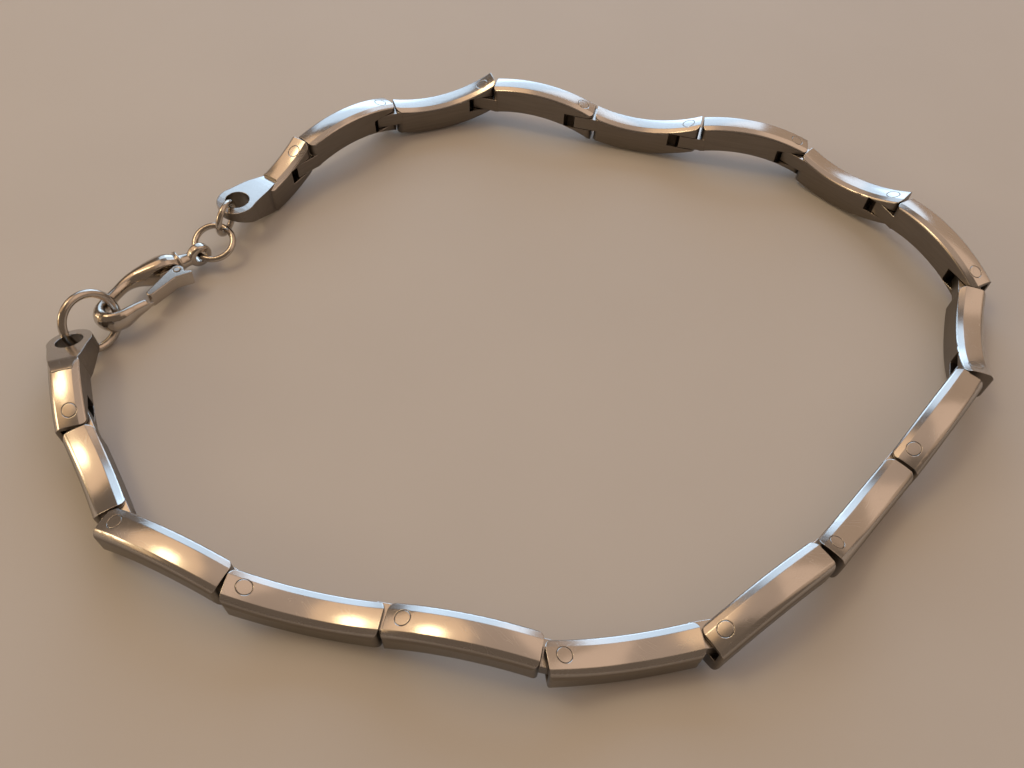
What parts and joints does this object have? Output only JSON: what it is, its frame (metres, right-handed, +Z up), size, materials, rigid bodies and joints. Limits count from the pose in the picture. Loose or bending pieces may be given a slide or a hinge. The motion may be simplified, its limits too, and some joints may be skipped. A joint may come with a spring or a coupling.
{
  "type": "bracelet",
  "caption": "Slim titanium bracelet of waved bar links on upright pins, with eye ends, wire rings and a spring clasp, lying closed on its edge.",
  "frame": {"origin": "middle of the bounding box, on the surface on which the bracelet lies", "axes": "+Z up, across the band's width; +X along the loop, from the clasp to the far bend; +Y to the side of the loop where the start eye link leaves"},
  "size_m": [0.0768, 0.0596, 0.0049],
  "materials": {
    "satin_titanium": "finely brushed titanium with rubbed bright edges",
    "bright_titanium": "polished titanium with light scratches"
  },
  "bodies": {
    "bracelet": {"eye_link_start": "satin_titanium", "link_01": "satin_titanium", "link_02": "satin_titanium", "link_03": "satin_titanium", "link_04": "satin_titanium", "link_05": "satin_titanium", "link_06": "satin_titanium", "link_07": "satin_titanium", "link_08": "satin_titanium", "link_09": "satin_titanium", "link_10": "satin_titanium", "link_11": "satin_titanium", "link_12": "satin_titanium", "link_13": "satin_titanium", "link_14": "satin_titanium", "link_15": "satin_titanium", "link_16": "satin_titanium", "eye_link_end": "satin_titanium", "pin_00": "bright_titanium", "pin_01": "bright_titanium", "pin_02": "bright_titanium", "pin_03": "bright_titanium", "pin_04": "bright_titanium", "pin_05": "bright_titanium", "pin_06": "bright_titanium", "pin_07": "bright_titanium", "pin_08": "bright_titanium", "pin_09": "bright_titanium", "pin_10": "bright_titanium", "pin_11": "bright_titanium", "pin_12": "bright_titanium", "pin_13": "bright_titanium", "pin_14": "bright_titanium", "pin_15": "bright_titanium", "pin_16": "bright_titanium", "large_ring": "bright_titanium", "middle_ring": "bright_titanium", "small_ring": "bright_titanium", "clasp_frame": "bright_titanium", "clasp_rivet": "bright_titanium"},
    "clasp_lever": {"clasp_lever": "bright_titanium"}
  },
  "joints": [
    {"name": "clasp_lever_hinge", "type": "hinge", "parent": "bracelet", "child": "clasp_lever", "pos_m": [-0.03086, 0.00295, 0.00152], "axis": [-0.0468, -0.0493, -0.9977], "range_deg": [0, 28], "stiffness_Nm_per_rad": 0.008, "springref_deg": -20.05}
  ]
}
